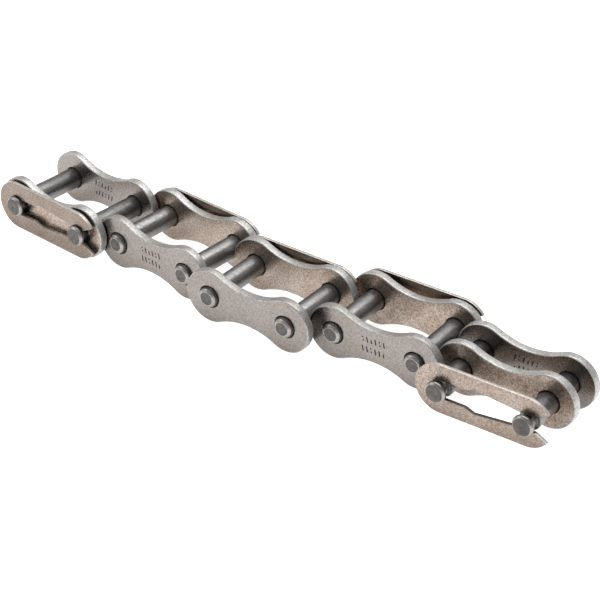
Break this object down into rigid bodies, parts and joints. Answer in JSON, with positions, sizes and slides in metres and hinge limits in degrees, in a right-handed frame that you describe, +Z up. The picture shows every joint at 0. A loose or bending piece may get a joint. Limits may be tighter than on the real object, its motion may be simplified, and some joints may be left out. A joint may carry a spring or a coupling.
{
  "type": "roller chain connecting link row",
  "caption": "Row of loose roller chain connecting links: waisted plates on paired pins, each closed by a cover plate and a flat spring clip.",
  "frame": {"origin": "centre of the row's bounding box, on the surface that it stands on", "axes": "+X along the row, from the first link to the fifth; +Z up; +Y away from the side of the first clip; the pins lie near Y"},
  "size_m": [0.1902, 0.036, 0.0155],
  "materials": {
    "plate_steel": "satin tumbled steel, warm light grey",
    "cover_steel": "satin steel with a warm tan tint",
    "pin_steel": "dark hardened steel, semi-gloss, bluish grey",
    "clip_steel": "satin spring steel, tan grey"
  },
  "bodies": {
    "link_1_pins": {"pin_plate_1": "plate_steel", "left_pin_1": "pin_steel", "right_pin_1": "pin_steel"},
    "link_1_cover": {"cover_plate_1": "cover_steel"},
    "link_1_clip": {"spring_clip_1": "clip_steel"},
    "link_2_pins": {"pin_plate_2": "plate_steel", "left_pin_2": "pin_steel", "right_pin_2": "pin_steel"},
    "link_2_cover": {"cover_plate_2": "cover_steel"},
    "link_2_clip": {"spring_clip_2": "clip_steel"},
    "link_3_pins": {"pin_plate_3": "plate_steel", "left_pin_3": "pin_steel", "right_pin_3": "pin_steel"},
    "link_3_cover": {"cover_plate_3": "cover_steel"},
    "link_3_clip": {"spring_clip_3": "clip_steel"},
    "link_4_pins": {"pin_plate_4": "plate_steel", "left_pin_4": "pin_steel", "right_pin_4": "pin_steel"},
    "link_4_cover": {"cover_plate_4": "cover_steel"},
    "link_4_clip": {"spring_clip_4": "clip_steel"},
    "link_5_pins": {"pin_plate_5": "plate_steel", "left_pin_5": "pin_steel", "right_pin_5": "pin_steel"},
    "link_5_cover": {"cover_plate_5": "cover_steel"},
    "link_5_clip": {"spring_clip_5": "clip_steel"}
  },
  "joints": [
    {"name": "link_2_slide", "type": "slide", "parent": "link_3_pins", "child": "link_2_cover", "axis": [-1, 0, 0], "range_m": [0, 0.05]},
    {"name": "link_1_slide", "type": "slide", "parent": "link_2_cover", "child": "link_1_cover", "axis": [-1, 0, 0], "range_m": [0, 0.05]},
    {"name": "link_4_slide", "type": "slide", "parent": "link_3_pins", "child": "link_4_cover", "axis": [1, 0, 0], "range_m": [0, 0.05]},
    {"name": "link_5_slide", "type": "slide", "parent": "link_4_cover", "child": "link_5_pins", "axis": [1, 0, 0], "range_m": [0, 0.05]},
    {"name": "pins_1_slide", "type": "slide", "parent": "link_1_cover", "child": "link_1_pins", "axis": [-0.0663, -0.9978, 0], "range_m": [0, 0.0149]},
    {"name": "pins_2_slide", "type": "slide", "parent": "link_2_cover", "child": "link_2_pins", "axis": [0.0523, 0.9986, 0], "range_m": [0, 0.0131]},
    {"name": "cover_3_slide", "type": "slide", "parent": "link_3_pins", "child": "link_3_cover", "axis": [0.0279, -0.9996, 0], "range_m": [0, 0.0107]},
    {"name": "pins_4_slide", "type": "slide", "parent": "link_4_cover", "child": "link_4_pins", "axis": [-0.0541, 0.9985, 0], "range_m": [-0.0009, 0.0016]},
    {"name": "cover_5_slide", "type": "slide", "parent": "link_5_pins", "child": "link_5_cover", "axis": [-0.0523, 0.9986, 0], "range_m": [0, 0.0076]},
    {"name": "clip_1_slide", "type": "slide", "parent": "link_1_pins", "child": "link_1_clip", "axis": [-0.9978, 0.0663, 0], "range_m": [0, 0.011]},
    {"name": "clip_2_slide", "type": "slide", "parent": "link_2_pins", "child": "link_2_clip", "axis": [-0.9986, 0.0523, 0], "range_m": [0, 0.011]},
    {"name": "clip_3_slide", "type": "slide", "parent": "link_3_pins", "child": "link_3_clip", "axis": [-0.9996, -0.0279, 0], "range_m": [0, 0.0009]},
    {"name": "clip_4_slide", "type": "slide", "parent": "link_4_pins", "child": "link_4_clip", "axis": [-0.9985, -0.0541, 0], "range_m": [0, 0.011]},
    {"name": "clip_5_slide", "type": "slide", "parent": "link_5_pins", "child": "link_5_clip", "axis": [-0.9986, -0.0523, 0], "range_m": [0, 0.011]}
  ]
}
